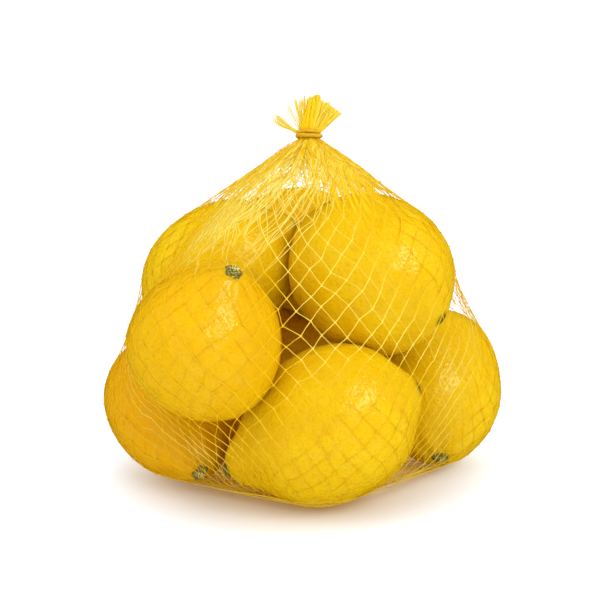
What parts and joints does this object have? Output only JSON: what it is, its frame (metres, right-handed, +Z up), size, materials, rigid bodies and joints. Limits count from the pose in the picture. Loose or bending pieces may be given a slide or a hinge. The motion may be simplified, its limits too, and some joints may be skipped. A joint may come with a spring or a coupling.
{
  "type": "net of lemons",
  "caption": "Knitted yellow net bag filled with whole lemons, gathered and tied at the neck with a short tuft above, standing on its flat base.",
  "frame": {"origin": "middle of the base, on the surface that the bag stands on", "axes": "+Z up towards the tied neck, -Y towards the front of the bag, +X to the right seen from the front"},
  "size_m": [0.1754, 0.1586, 0.1678],
  "materials": {
    "net_strand": "soft sheen polyethylene strand",
    "tie_wire": "smooth coated wire",
    "lemon_peel": "waxy pored peel",
    "lemon_stem": "dry stem button"
  },
  "bodies": {
    "root": {"filled_net": "net_strand", "neck_tie": "tie_wire"}
  },
  "joints": []
}
